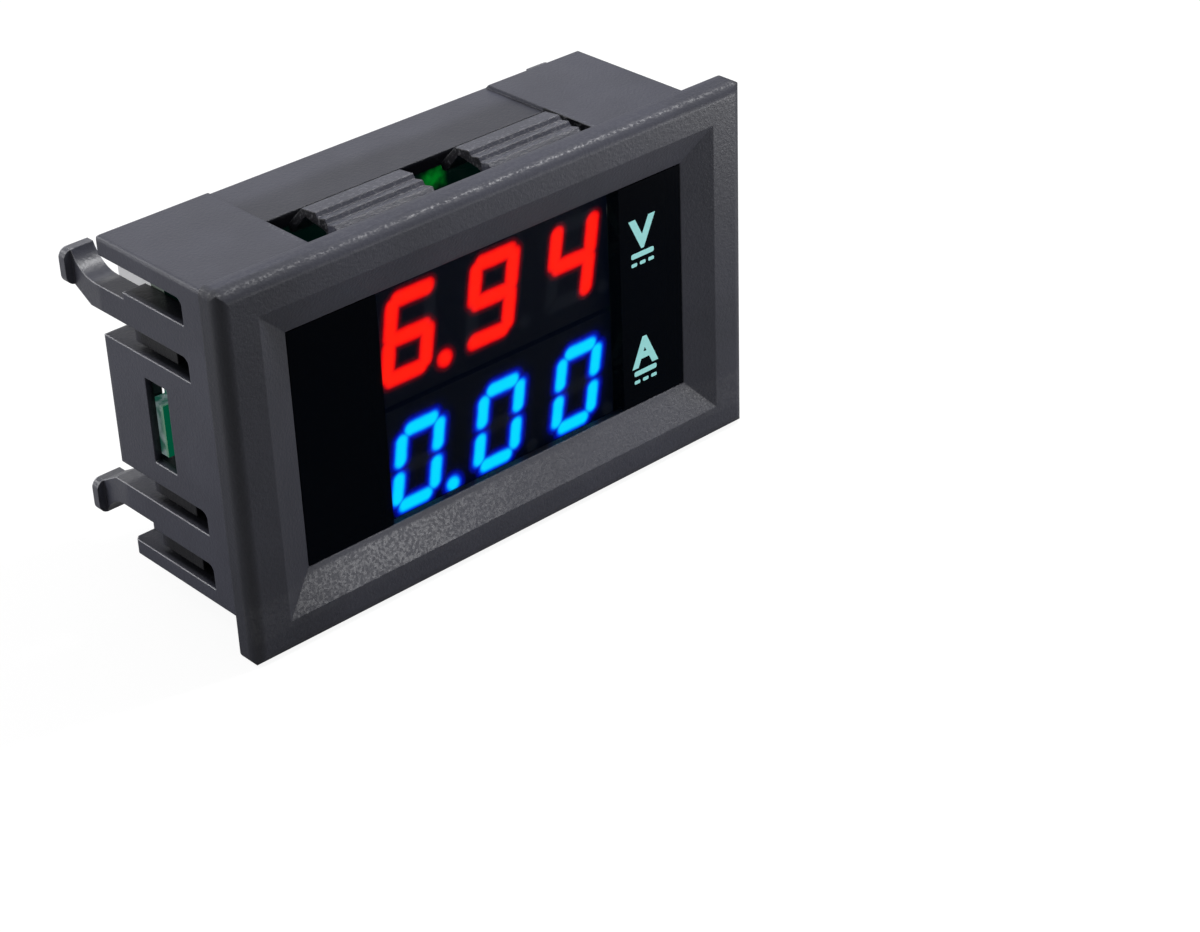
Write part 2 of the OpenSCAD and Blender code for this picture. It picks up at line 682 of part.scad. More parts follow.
module power_contacts() color([0.85, 0.85, 0.82]) translate([power_x, board_back, power_z])
    for (s = [-1, 1]) translate([0, 0, s * power_pitch / 2]) {
        span([-power_pin_t / 2, -board_t - header_leg, -power_pin_t / 2],
             [power_pin_t / 2, power_h - power_pin_recess, power_pin_t / 2]);
    }

// Three-way header: thin walls, with two slots in the side away from the board's middle
module signal_header() color([0.9, 0.9, 0.92]) translate([signal_x, board_back, signal_z]) difference() {
    span([-signal_l / 2, 0, -signal_w / 2], [signal_l / 2, signal_h, signal_w / 2]);
    span([-signal_l / 2 + header_wall, header_floor, -signal_w / 2 + header_wall],
         [signal_l / 2 - header_wall, signal_h + over, signal_w / 2 - header_wall]);
    for (s = [-1, 1]) translate([s * signal_pitch, 0, signal_w / 2 - header_wall])
        span([-header_wall * 0.8, header_floor + 0.6, -over],
             [header_wall * 0.8, signal_h + over, header_wall + over]);
    for (i = [-1 : 1]) post([i * signal_pitch, 0], signal_pin_t * 1.55, -over, header_floor + over);
}

module signal_contacts() color([0.85, 0.85, 0.82]) translate([signal_x, board_back, signal_z])
    for (i = [-1 : 1]) translate([i * signal_pitch, 0, 0])
        span([-signal_pin_t / 2, -board_t - header_leg, -signal_pin_t / 2],
             [signal_pin_t / 2, signal_h - signal_pin_recess, signal_pin_t / 2]);

// ---- Assembly --------------------------------------------------------------

housing();
front_window();
voltage_display_case();
voltage_lit_segments();
voltage_dark_segments();
voltage_display_pins();
current_display_case();
current_lit_segments();
current_dark_segments();
current_display_pins();
circuit_board();
solder_joints();
controller_chip();
amplifier_chip();
regulator_chip();
chip_leads();
protection_diode();
chip_resistors();
chip_capacitors();
current_trimmer_base();
current_trimmer_rotor();
voltage_trimmer_base();
voltage_trimmer_rotor();
power_header();
power_contacts();
signal_header();
signal_contacts();
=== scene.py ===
"""A snap-in digital panel meter: finishes, printed legends, board details, light and camera."""
import json
import math

import bpy
from mathutils import Matrix, Vector


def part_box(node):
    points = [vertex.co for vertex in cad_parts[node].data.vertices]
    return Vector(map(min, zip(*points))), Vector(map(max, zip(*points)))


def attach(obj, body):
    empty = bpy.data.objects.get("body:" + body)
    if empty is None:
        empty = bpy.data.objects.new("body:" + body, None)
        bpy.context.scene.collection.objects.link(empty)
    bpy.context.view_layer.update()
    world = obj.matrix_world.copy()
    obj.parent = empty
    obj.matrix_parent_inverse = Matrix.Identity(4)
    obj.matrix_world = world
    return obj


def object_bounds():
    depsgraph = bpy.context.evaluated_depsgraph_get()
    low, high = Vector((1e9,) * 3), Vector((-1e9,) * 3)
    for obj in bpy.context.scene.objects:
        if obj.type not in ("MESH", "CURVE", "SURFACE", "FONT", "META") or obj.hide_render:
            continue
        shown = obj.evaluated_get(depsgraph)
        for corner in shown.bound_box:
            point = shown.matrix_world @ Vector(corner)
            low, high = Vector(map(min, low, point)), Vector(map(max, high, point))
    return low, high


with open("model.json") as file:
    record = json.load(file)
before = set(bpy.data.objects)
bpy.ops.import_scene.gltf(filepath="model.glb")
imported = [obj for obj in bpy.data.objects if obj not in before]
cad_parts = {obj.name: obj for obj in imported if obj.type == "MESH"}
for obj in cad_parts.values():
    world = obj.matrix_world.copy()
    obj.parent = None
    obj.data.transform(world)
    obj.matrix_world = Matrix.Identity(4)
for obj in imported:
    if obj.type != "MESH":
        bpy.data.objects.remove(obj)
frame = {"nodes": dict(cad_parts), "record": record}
CAD_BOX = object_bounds()
MM_PER_M = 1000
MM = 1 / MM_PER_M
METER = "meter"


# ---- Shader maths ----------------------------------------------------------

class Signal:
    """A socket that carries a number, usable in sums: signal * 2 + other, 1 - signal, and so on."""

    def __init__(self, finish, socket):
        self.finish = finish
        self.socket = socket

    def math(self, operation, *values):
        return self.finish.math(operation, *values)

    def __add__(self, other):
        return self.math("ADD", self, other)

    def __radd__(self, other):
        return self.math("ADD", other, self)

    def __sub__(self, other):
        return self.math("SUBTRACT", self, other)

    def __rsub__(self, other):
        return self.math("SUBTRACT", other, self)

    def __mul__(self, other):
        return self.math("MULTIPLY", self, other)

    def __rmul__(self, other):
        return self.math("MULTIPLY", other, self)

    def __truediv__(self, other):
        return self.math("DIVIDE", self, other)

    def __abs__(self):
        return self.math("ABSOLUTE", self)

    def over(self, low, high):
        """0 below low, 1 above high, and smooth between them; falls instead where low is the larger."""
        return self.finish.node(
            "ShaderNodeMapRange", {"interpolation_type": "SMOOTHSTEP"},
            {"Value": self, "From Min": low, "From Max": high},
        )


# The colour sockets of a Mix node, which share their names with its others
MIX_AMOUNT, MIX_LOW, MIX_HIGH, MIX_COLOUR = 0, 6, 7, 2


class Finish:
    """One material under construction, with its Principled shader."""

    def __init__(self, name):
        self.material = bpy.data.materials.new(name)
        self.material.use_nodes = True
        self.tree = self.material.node_tree
        self.shader = self.tree.nodes["Principled BSDF"]
        self.place = self.node("ShaderNodeTexCoord", output="Object")

    def node(self, kind, settings=None, values=None, output=0):
        """Adds a node, gives it its settings and then its inputs, and returns the wanted output."""
        made = self.tree.nodes.new(kind)
        for key, value in (settings or {}).items():
            if key == "stops":
                self.set_stops(made.color_ramp, value)
            else:
                setattr(made, key, value)
        for key, value in (values or {}).items():
            self.join(made.inputs[key], value)
        return Signal(self, made.outputs[output])

    @staticmethod
    def set_stops(ramp, stops):
        while len(ramp.elements) < len(stops):
            ramp.elements.new(1)
        for element, (place, colour) in zip(ramp.elements, stops):
            element.position = place
            element.color = (*colour, 1)

    def join(self, socket, value):
        if isinstance(value, Signal):
            self.tree.links.new(value.socket, socket)
        else:
            socket.default_value = value

    def math(self, operation, *values):
        return self.node("ShaderNodeMath", {"operation": operation}, dict(enumerate(values)))

    def split(self, vector):
        """The X, Y and Z of a vector socket."""
        parts = self.tree.nodes.new("ShaderNodeSeparateXYZ")
        self.tree.links.new(vector, parts.inputs[0])
        return [Signal(self, part) for part in parts.outputs]

    def axes(self):
        """The X, Y and Z of the surface, in millimetres."""
        return [part * MM_PER_M for part in self.split(self.place.socket)]

    def facing(self, axis):
        """How squarely the surface faces along X, Y or Z, given as axis 0, 1 or 2: from 0 to 1."""
        return abs(self.split(self.place.socket.node.outputs["Normal"])[axis])

    def grain(self, size_mm, detail=2.0, rough=0.5):
        """Cloudy noise whose features are about size_mm across, from 0 to 1."""
        return self.node(
            "ShaderNodeTexNoise", {"noise_dimensions": "3D"},
            {"Vector": self.place, "Scale": MM_PER_M / size_mm, "Detail": detail, "Roughness": rough},
        )

    def blend(self, amount, low, high, how="MIX"):
        """A colour between low and high, or their sum where how is ADD and amount is 1."""
        return self.node(
            "ShaderNodeMix", {"data_type": "RGBA", "blend_type": how},
            {MIX_AMOUNT: amount, MIX_LOW: self.rgba(low), MIX_HIGH: self.rgba(high)}, output=MIX_COLOUR,
        )

    @staticmethod
    def rgba(colour):
        return colour if isinstance(colour, Signal) else (*colour, 1)

    def bump(self, height, depth_mm, strength=1.0, under=None):
        values = {"Height": height, "Distance": depth_mm * MM, "Strength": strength}
        if under is not None:
            values["Normal"] = under
        return self.node("ShaderNodeBump", {}, values)

    def set(self, **sockets):
        """Shader sockets by name, with _ for a space: set(Base_Color=..., Roughness=0.4)."""
        for key, value in sockets.items():
            socket = self.shader.inputs[key.replace("_", " ")]
            if key.endswith("Color") and not isinstance(value, Signal):
                value = (*value, 1)
            self.join(socket, value)
        return self.material


# ---- Materials -------------------------------------------------------------

EDGE_MM = 0.15
GRAIN_MM = 0.24
GRAIN_DEPTH_MM = 0.032
SIDE_X = 22.5
TOP_Z = 12.925
# Colour of the highlight painted along the upward edges of the side walls
EDGE_HIGHLIGHT = (0.75, 0.75, 0.80)
# Colour of the glints painted on the tongues' ribs
PAINTED_GLINTS = (0.42, 0.42, 0.46)
# Colours of painted shade: on the bezel, and deeper down the slots and inside
PAINTED_SHADE = (0.012, 0.013, 0.016)
PAINTED_DEEP_SHADE = (0.003, 0.003, 0.005)

# Stretches of the housing in millimetres, each from where it starts to show to where it shows in full
WALLS_X = (22.15, 22.35)
BODY_Y = (0.3, 0.6)
BEZEL_SIDES_X = (23.1, 23.8)
BEZEL_LEFT_X, BEZEL_FACE_Y = (-14.0, -20.0), (-0.9, -1.1)
BEZEL_RIGHT_X, BEZEL_EDGE_Y = (15.0, 21.0), (-0.3, -0.6)
SLOT_DEPTH = (0.08, 0.6)
SLOTS_FRONT_Y, SLOTS_REAR_Y = (1.0, 1.6), (12.5, 10.5)
TONGUE_ENDS_FRONT_Y, TONGUE_ENDS_REAR_Y = (2.6, 2.9), (8.1, 7.8)
TONGUE_ENDS_Z, TONGUE_ENDS_X = (11.0, 11.6), (16.5, 16.0)
TONGUES_FRONT_Y, TONGUES_REAR_Y = (1.9, 2.2), (7.4, 7.1)
TONGUES_Z, TONGUES_X = (12.2, 12.4), (13.6, 13.3)
CROWN_Y, CROWN_Z = (-0.2, -0.5), (13.6, 14.0)
HOOKS_Y = (14.3, 14.9)
SILL_TOP_Z, SILL_FOOT_Z = (-9.3, -9.6), (-12.6, -12.3)


def painted_edge_highlights(finish, soft_edge, x, y):
    """1 along the upward edges of the side walls, where a pale highlight is painted."""
    flat = finish.node("ShaderNodeNewGeometry", output="Normal")
    agree = finish.node(
        "ShaderNodeVectorMath", {"operation": "DOT_PRODUCT"}, {0: soft_edge, 1: flat}, output="Value"
    )
    rise = finish.split(soft_edge.socket)[2]
    on_walls = abs(x).over(*WALLS_X) * y.over(*BODY_Y)
    return agree.over(0.995, 0.95) * rise.over(0.15, 0.45) * on_walls


def painted_shade_inside(finish, x, y, z):
    """Where shade is painted: 1 down the slots and inside the housing, and on the ends of the gripping
    tongues.
    """
    depth = finish.math("MINIMUM", SIDE_X - abs(x), TOP_Z - abs(z))
    inside = depth.over(*SLOT_DEPTH) * y.over(*SLOTS_FRONT_Y) * y.over(*SLOTS_REAR_Y)
    sideways = finish.facing(0).over(0.7, 0.9)
    along = y.over(*TONGUE_ENDS_FRONT_Y) * y.over(*TONGUE_ENDS_REAR_Y)
    tongue_ends = sideways * along * abs(z).over(*TONGUE_ENDS_Z) * abs(x).over(*TONGUE_ENDS_X)
    return finish.math("MAXIMUM", inside, tongue_ends)


def glossy_places(y, z, crown, sparkle):
    """Gloss on the latch hooks, and sparkles on the bezel's upper edge and its lower slope."""
    hooks = y.over(*HOOKS_Y) * (0.6 + sparkle * 0.4)
    sill = y.over(*BEZEL_FACE_Y) * z.over(*SILL_TOP_Z) * z.over(*SILL_FOOT_Z) * (0.1 + sparkle * 0.5)
    return hooks + crown * sparkle * 0.1 + sill


def moulded_black(name, colour, roughness):
    """Spark-textured black plastic with pale highlights painted along its edges, painted shade on its bezel,
    down its slots and inside, and glints painted on its tongues.
    """
    finish = Finish(name)
    x, y, z = finish.axes()
    fine = finish.grain(GRAIN_MM, 3.0, 0.6)
    cloud = finish.grain(6.0, 2.0)
    darker = tuple(c * 0.9 for c in colour)
    lighter = tuple(c * 1.1 for c in colour)
    tone = finish.blend(cloud.over(0.35, 0.65) * 0.6 + fine * 0.4, darker, lighter)
    soft_edge = finish.node("ShaderNodeBevel", {"samples": 4}, {"Radius": EDGE_MM * MM})
    highlit_edges = painted_edge_highlights(finish, soft_edge, x, y)
    # Painted highlight: a pale line along the upward edges of the side walls
    tone = finish.blend(highlit_edges * 0.85, tone, EDGE_HIGHLIGHT)
    # Painted shade on the bezel's outer sides and towards both ends of its face
    for shaded in (
        abs(x).over(*BEZEL_SIDES_X) * 0.5,
        x.over(*BEZEL_LEFT_X) * y.over(*BEZEL_FACE_Y) * 0.35,
        x.over(*BEZEL_RIGHT_X) * y.over(*BEZEL_EDGE_Y) * 0.25,
    ):
        tone = finish.blend(shaded, tone, PAINTED_SHADE)
    # Painted shade down the slots, inside the housing and on the tongues' ends
    tone = finish.blend(painted_shade_inside(finish, x, y, z) * 0.95, tone, PAINTED_DEEP_SHADE)
    # Painted glints: pale specks over the gripping tongues
    on_tongues = y.over(*TONGUES_FRONT_Y) * y.over(*TONGUES_REAR_Y)
    on_tongues = on_tongues * abs(z).over(*TONGUES_Z) * abs(x).over(*TONGUES_X)
    tone = finish.blend(on_tongues * fine.over(0.52, 0.66) * 0.2, tone, PAINTED_GLINTS)
    rub = finish.grain(2.5, 3.0)
    sparkle = fine.over(0.42, 0.62)
    crown = y.over(*CROWN_Y) * z.over(*CROWN_Z)
    return finish.set(
        Base_Color=tone,
        Roughness=roughness - 0.06 + rub * 0.12 - highlit_edges * 0.08 + crown * (1 - sparkle * 0.6) * 0.3,
        Normal=finish.bump(fine, GRAIN_DEPTH_MM, 0.9, soft_edge),
        Specular_IOR_Level=0.4,
        Coat_Weight=glossy_places(y, z, crown, sparkle),
        Coat_Roughness=0.26,
    )


DISPLAYS_BOX = (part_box("current_display_case")[0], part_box("voltage_display_case")[1])
WINDOW_ALPHA = 0.45
MASKED_ALPHA = 0.995
# Light from the displays passes both faces of the window, so it is made stronger by what they hold back
DIM = 1 / (1 - WINDOW_ALPHA) ** 2


def window_tint():
    """Dark polished window, thinly tinted before the displays and all but opaque round them."""
    finish = Finish("tinted_window")
    x, _, z = finish.axes()
    smear = finish.grain(9.0, 2.0)
    low, high = (corner / MM for corner in DISPLAYS_BOX)
    beside = abs(x - (low.x + high.x) / 2) - (high.x - low.x) / 2
    above = abs(z - (low.z + high.z) / 2) - (high.z - low.z) / 2
    outside = finish.math("MAXIMUM", beside, above)
    masked = outside.over(-0.05, 0.05)
    return finish.set(
        Base_Color=finish.blend(smear, (0.0001, 0.0010, 0.0030), (0.0003, 0.0016, 0.0045)),
        Roughness=0.06 + smear * 0.05,
        Alpha=masked * (MASKED_ALPHA - WINDOW_ALPHA) + WINDOW_ALPHA,
        Specular_IOR_Level=0.03,
    )


DISPLAY_SHIFT = 0.7
DIGIT_PITCH = 7.7
DIGIT_HALF_W = 2.3
DIGIT_HALF_H = 3.5
STROKE = 1.1
POINT_D = 1.1
# The decimal point lies beside and above the digit's lower right corner, in shares of its own width
POINT_ASIDE = 0.65
POINT_RISE = 0.3
# Distances from the point are shortened by this share, so that its glow comes out a little wider
POINT_SPREAD = 0.9
LEAN = math.tan(math.radians(10))
VOLTAGE_Z = sum(c.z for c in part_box("voltage_display_case")) / 2 / MM
CURRENT_Z = sum(c.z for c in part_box("current_display_case")) / 2 / MM
DISPLAY_FACE = DISPLAYS_BOX[0].y / MM
# Middle line of each segment: its centre, in halves of the digit's width and height, and its direction
SEGMENT_LINES = {
    "a": (0, 1, "level"), "b": (1, 0.5, "upright"), "c": (1, -0.5, "upright"), "d": (0, -1, "level"),
    "e": (-1, -0.5, "upright"), "f": (-1, 0.5, "upright"), "g": (0, 0, "level"),
}
REACH = 1.6


def glow_distance(finish, digits, mid_z, ends_in):
    """Distance in millimetres from the middle line of the nearest lit segment or decimal point."""
    x, _, z = finish.axes()
    high = z - mid_z
    half_w = DIGIT_HALF_W - STROKE / 2
    half_h = DIGIT_HALF_H - STROKE / 2
    nearest = None
    for place, lit in enumerate(digits):
        digit_x = DISPLAY_SHIFT + (place - 1) * DIGIT_PITCH
        across = x - high * LEAN - digit_x
        for segment in lit:
            if segment == ".":
                aside = (x - (digit_x + DIGIT_HALF_W + POINT_D * POINT_ASIDE)) * POINT_SPREAD
                above = (high - (POINT_D * POINT_RISE - DIGIT_HALF_H)) * POINT_SPREAD
            else:
                side, rise, way = SEGMENT_LINES[segment]
                aside = across - side * half_w
                above = high - rise * half_h
                if way == "level":
                    aside = finish.math("MAXIMUM", abs(aside) - (half_w - ends_in), 0.0)
                else:
                    above = finish.math("MAXIMUM", abs(above) - (half_h / 2 - ends_in), 0.0)
            square = aside * aside + above * above
            nearest = square if nearest is None else finish.math("MINIMUM", nearest, square)
    return finish.math("SQRT", nearest)


# Colours of the glow at growing distances from a lit segment's middle line, in millimetres
RED_GLOW = (
    (0.30, (1.0, 0.012, 0.0)), (0.52, (0.95, 0.002, 0.0)), (0.64, (0.50, 0.0, 0.0)),
    (0.76, (0.07, 0.0, 0.001)), (1.05, (0.0008, 0.0004, 0.001)), (REACH, (0.0, 0.0, 0.0)),
)
BLUE_GLOW = (
    (0.30, (0.0, 0.70, 1.0)), (0.46, (0.0, 0.40, 1.0)), (0.60, (0.0, 0.05, 0.80)),
    (0.78, (0.0, 0.002, 0.28)), (1.10, (0.0, 0.0003, 0.012)), (REACH, (0.0, 0.0, 0.0)),
)
VOLTAGE_DIGITS = ("acdefg.", "abcdfg", "bcfg")
CURRENT_DIGITS = ("abcdef.", "abcdef", "abcdef")


def display_glow(name, glow, digits, mid_z, ends_in, base, rest):
    """Part of a display, with the segments' light painted on it as a glow: full along their middle lines, and
    fading past their edges.
    """
    finish = Finish(name)
    fine = finish.grain(0.5, 2.0)
    away = glow_distance(finish, digits, mid_z, ends_in) + (finish.grain(0.8, 2.0) - 0.5) * 0.10
    _, y, _ = finish.axes()
    front = y.over(DISPLAY_FACE + 0.7, DISPLAY_FACE + 0.5)
    away = away + (1 - front) * REACH
    stops = [(distance / REACH, colour) for distance, colour in glow]
    shine = finish.node("ShaderNodeValToRGB", {"stops": stops}, {0: away / REACH})
    quiet = finish.blend(fine, tuple(c * 0.8 for c in rest), tuple(c * 1.2 for c in rest))
    return finish.set(
        Base_Color=finish.blend(fine, tuple(c * 0.7 for c in base), tuple(c * 1.3 for c in base)),
        Roughness=0.55,
        # Painted light: the segments' glow spreads over the case and the unlit segments
        Emission_Color=finish.blend(1.0, quiet, shine, "ADD"),
        Emission_Strength=DIM,
    )


def plain(name, low, high, roughness, grain_mm=0.5, depth_mm=0.004, metallic=0.0):
    """A finish that varies between two colours over a fine grain."""
    finish = Finish(name)
    fine = finish.grain(grain_mm, 3.0, 0.55)
    broad = finish.grain(grain_mm * 8, 2.0)
    return finish.set(
        Base_Color=finish.blend(broad.over(0.3, 0.7) * 0.6 + fine * 0.4, low, high),
        Roughness=roughness - 0.05 + broad * 0.1,
        Metallic=metallic,
        Normal=finish.bump(fine, depth_mm, 0.6),
    )


BOARD_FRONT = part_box("circuit_board")[0].y / MM
# The patch of painted light on the board's front that the upper opening shows, and the stretch of painted
# light beside the side window
PATCH_X, PATCH_W = 3.5, 1.2
PATCH_Z, PATCH_H = 9.9, 0.9
SIDE_WINDOW_X, SIDE_WINDOW_Z = (-19.0, -20.0), (5.5, 5.0)


def board_green():
    """Solder mask over copper, with bare laminate edges, painted shade over its front, and painted light from
    the displays glowing in places on its front and edges.
    """
    finish = Finish("board_green")
    x, y, z = finish.axes()
    wander = finish.grain(9.0, 1.0) * 2.5
    ranks = finish.node("ShaderNodeMath", {"operation": "PINGPONG"}, {0: x * 0.25 + z + wander, 1: 0.8})
    tracks = ranks.over(0.14, 0.2)
    pours = finish.grain(6.0, 0.5).over(0.49, 0.51)
    copper = finish.math("MAXIMUM", pours, 1 - tracks)
    speck = finish.grain(0.4, 2.0)
    mask = finish.blend(copper, (0.026, 0.088, 0.050), (0.055, 0.150, 0.090))
    mask = finish.blend(speck * 0.3, mask, (0.06, 0.15, 0.10))
    rim = finish.facing(1).over(0.6, 0.4)
    front = y.over(BOARD_FRONT + 0.3, BOARD_FRONT + 0.1)
    mottle = finish.grain(0.7, 2.0)
    from_patch = finish.math("MAXIMUM", abs(x - PATCH_X) / PATCH_W, abs(z - PATCH_Z) / PATCH_H)
    glow = from_patch.over(1.15, 0.4) * mottle.over(0.2, 0.7)
    window = x.over(*SIDE_WINDOW_X) * abs(z).over(*SIDE_WINDOW_Z)
    edge_glow_mottle = finish.grain(0.9, 3.0).over(0.40, 0.62)
    # Painted light: a glowing patch on the front, a green glow beside the side window, and glowing edges
    # there
    patch = finish.blend(glow, (0.0, 0.003, 0.002), (0.0, 0.14, 0.01))
    lit = finish.blend(window, patch, (0.0, 0.075, 0.035))
    edge_light = finish.blend(edge_glow_mottle, (0.004, 0.055, 0.038), (0.10, 0.14, 0.14))
    lit = finish.blend(front, finish.blend(window * rim, (0.0, 0.0, 0.0), edge_light), lit)
    # Painted shade: the board's front face is coloured near black, and its painted glow is added over it
    mask_with_shaded_front = finish.blend(front, mask, (0.003, 0.02, 0.012))
    return finish.set(
        Base_Color=finish.blend(rim, mask_with_shaded_front, (0.26, 0.32, 0.27)),
        Roughness=0.3 + speck * 0.15,
        Emission_Color=lit,
        Emission_Strength=1.0,
        Normal=finish.bump(copper + speck * 0.2, 0.03, 0.7),
    )


# Two colours of a piece of a display: its own, and the faint light that it gives between the lit segments
FACE = ((0.003, 0.004, 0.006), (0.0003, 0.0008, 0.0030))
UNLIT = ((0.012, 0.013, 0.016), (0.0030, 0.0040, 0.0070))
DISPLAYS = {
    "voltage": (RED_GLOW, VOLTAGE_DIGITS, VOLTAGE_Z, 0.38),
    "current": (BLUE_GLOW, CURRENT_DIGITS, CURRENT_Z, 0.72),
}
NODE_FINISHES = {}
for display, glow in DISPLAYS.items():
    for piece, look in (("display_case", FACE), ("lit_segments", FACE), ("dark_segments", UNLIT)):
        node = f"{display}_{piece}"
        NODE_FINISHES[node] = display_glow(node, *glow, *look)
SLOT_FINISHES = {
    "housing_black": moulded_black("housing_black", (0.060, 0.062, 0.084), 0.38),
    "tinted_window": window_tint(),
    "tinned_metal": plain("tinned_metal", (0.62, 0.61, 0.58), (0.8, 0.79, 0.76), 0.3, metallic=1.0),
    "solder": plain("solder", (0.6, 0.6, 0.6), (0.85, 0.85, 0.85), 0.22, 0.3, 0.02, 1.0),
    "board_green": board_green(),
    "chip_black": plain("chip_black", (0.016, 0.015, 0.015), (0.03, 0.028, 0.027), 0.5, 0.15, 0.008),
    "resistor_black": plain("resistor_black", (0.01, 0.01, 0.01), (0.03, 0.03, 0.03), 0.35),
    "capacitor_tan": plain("capacitor_tan", (0.26, 0.17, 0.10), (0.36, 0.25, 0.16), 0.45),
    "trimmer_cream": plain("trimmer_cream", (0.50, 0.46, 0.38), (0.62, 0.58, 0.49), 0.5),
    "trimmer_metal": plain("trimmer_metal", (0.60, 0.56, 0.48), (0.78, 0.74, 0.66), 0.35, metallic=0.9),
    "header_white": plain("header_white", (0.72, 0.72, 0.74), (0.80, 0.80, 0.82), 0.38),
}


def dress_nodes():
    """Every CAD piece takes the finish of its slot in the record."""
    for part in frame["record"]["subparts"]:
        mesh = frame["nodes"][part["node"]].data
        mesh.materials.clear()
        finish = NODE_FINISHES.get(part["node"]) or SLOT_FINISHES[part["material_slot"]]
        mesh.materials.append(finish)


# ---- Printed legends -------------------------------------------------------

WINDOW_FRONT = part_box("front_window")[0].y
PRINT_T = 0.02 * MM
LEGEND_X = 14.3 * MM
LEGEND_W = 2.7 * MM
LEGEND_H = 2.5 * MM
VOLT_Z = 5.22 * MM
AMPERE_Z = -4.65 * MM
BAR_W = 2.3 * MM
BAR_H = 0.42 * MM
BAR_DROP = 0.45 * MM
DASH_W = BAR_W * 0.25
DASH_H = 0.28 * MM
DASH_DROP = 0.72 * MM
DASH_COUNT = 3


def deselect():
    bpy.ops.object.select_all(action="DESELECT")


def settle(piece, name, material):
    """Names a finished piece, puts its place in its mesh, and lets it ride on the meter."""
    deselect()
    piece.select_set(True)
    bpy.context.view_layer.objects.active = piece
    bpy.ops.object.transform_apply(location=True, rotation=True, scale=True)
    piece.name = name
    piece.data.name = name
    piece.data.materials.clear()
    piece.data.materials.append(material)
    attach(piece, METER)


def legend_ink():
    """Pale blue-green print, which glows a little as painted light."""
    finish = Finish("legend_ink")
    fine = finish.grain(0.25, 2.0)
    return finish.set(
        Base_Color=finish.blend(fine, (0.20, 0.50, 0.49), (0.30, 0.62, 0.61)),
        Roughness=0.55,
        # Painted light: the print glows a little
        Emission_Color=(0.24, 0.56, 0.55),
        Emission_Strength=0.55,
    )


def work_on_edges(piece, chosen, work):
    """Runs work in edit mode with the edges selected whose direction chosen accepts."""
    deselect()
    piece.select_set(True)
    bpy.context.view_layer.objects.active = piece
    bpy.ops.object.transform_apply(location=False, rotation=True, scale=True)
    bpy.ops.object.mode_set(mode="EDIT")
    bpy.ops.mesh.select_mode(type="EDGE")
    bpy.ops.mesh.select_all(action="DESELECT")
    bpy.ops.object.mode_set(mode="OBJECT")
    points = piece.data.vertices
    for edge in piece.data.edges:
        edge.select = chosen((points[edge.vertices[1]].co - points[edge.vertices[0]].co).normalized())
    bpy.ops.object.mode_set(mode="EDIT")
    work()
    bpy.ops.object.mode_set(mode="OBJECT")


def block(low, high, round_off, chosen=lambda way: True):
    """A block between two corners, with its chosen edges rounded."""
    deselect()
    bpy.ops.mesh.primitive_cube_add(size=1, location=(low + high) / 2)
    made = bpy.context.object
    made.scale = high - low
    work_on_edges(made, chosen, lambda: bpy.ops.mesh.bevel(offset=round_off, segments=3))
    return made


def flat_bar(low_x, high_x, mid_z, height):
    """A thin printed bar with round corners on the window's front face."""
    low = Vector((low_x, WINDOW_FRONT - PRINT_T, mid_z - height / 2))
    high = Vector((high_x, WINDOW_FRONT, mid_z + height / 2))
    return block(low, high, height * 0.35, lambda way: abs(way.y) > 0.9)


def copied(piece, shift):
    """A copy with its own mesh, moved by shift."""
    twin = piece.copy()
    twin.data = piece.data.copy()
    twin.location = piece.location + shift
    bpy.context.scene.collection.objects.link(twin)
    return twin


def joined(pieces):
    """One piece made of them all."""
    deselect()
    for piece in pieces:
        piece.select_set(True)
    bpy.context.view_layer.objects.active = pieces[0]
    bpy.ops.object.join()
    return pieces[0]


def unit_sign(letter, name, mid_z, ink):
    """A unit letter over the direct-current sign: one long bar and three dashes."""
    deselect()
    bpy.ops.object.text_add(location=(0, 0, 0), rotation=(math.pi / 2, 0, 0))
    sign = bpy.context.object
    sign.data.body = letter
    sign.data.align_x = "CENTER"
    sign.data.align_y = "CENTER"
    sign.data.extrude = 0.01
    sign.data.offset = 0.038
    bpy.ops.object.convert(target="MESH")
    sign = bpy.context.object
    sign.scale = (LEGEND_W / sign.dimensions.x, LEGEND_H / sign.dimensions.y, PRINT_T / sign.dimensions.z)
    bpy.ops.object.transform_apply(location=False, rotation=True, scale=True)
    corners = [Vector(c) for c in sign.bound_box]
    middle = sum(corners, Vector()) / 8
    sign.location = Vector((LEGEND_X, WINDOW_FRONT - PRINT_T / 2, mid_z)) - middle
    bar_z = mid_z - LEGEND_H / 2 - BAR_DROP
    left = LEGEND_X - BAR_W / 2
    bar = flat_bar(left, left + BAR_W, bar_z, BAR_H)
    dash = flat_bar(left, left + DASH_W, bar_z - DASH_DROP, DASH_H)
    step = (BAR_W - DASH_W) / (DASH_COUNT - 1)
    dashes = [dash] + [copied(dash, Vector((i * step, 0, 0))) for i in range(1, DASH_COUNT)]
    settle(joined([sign, bar] + dashes), name, ink)


# ---- Details of the circuit board -------------------------------------------

BOARD_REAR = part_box("circuit_board")[1].y
SILK_T = 0.02 * MM
SILK_W = 0.16 * MM
RING_T = 0.035 * MM
RING_W = 0.22 * MM
VIA_X, VIA_TOP_Z, VIA_PITCH, VIA_COUNT, VIA_D = 19.75, 8.3, 1.27, 9, 0.6
TEST_HOLES = ((18.7, 8.9), (16.4, 8.9))
TEST_HOLE_D = 0.9
# Printed frames round the rows of chips: lowest and highest x, then z, in millimetres
CHIP_FRAMES = ((8.1, 10.5, -0.2, 5.7), (-6.7, -4.3, 1.8, 6.5), (5.2, 7.4, 2.2, 6.7), (5.6, 8.6, -7.0, -4.2))
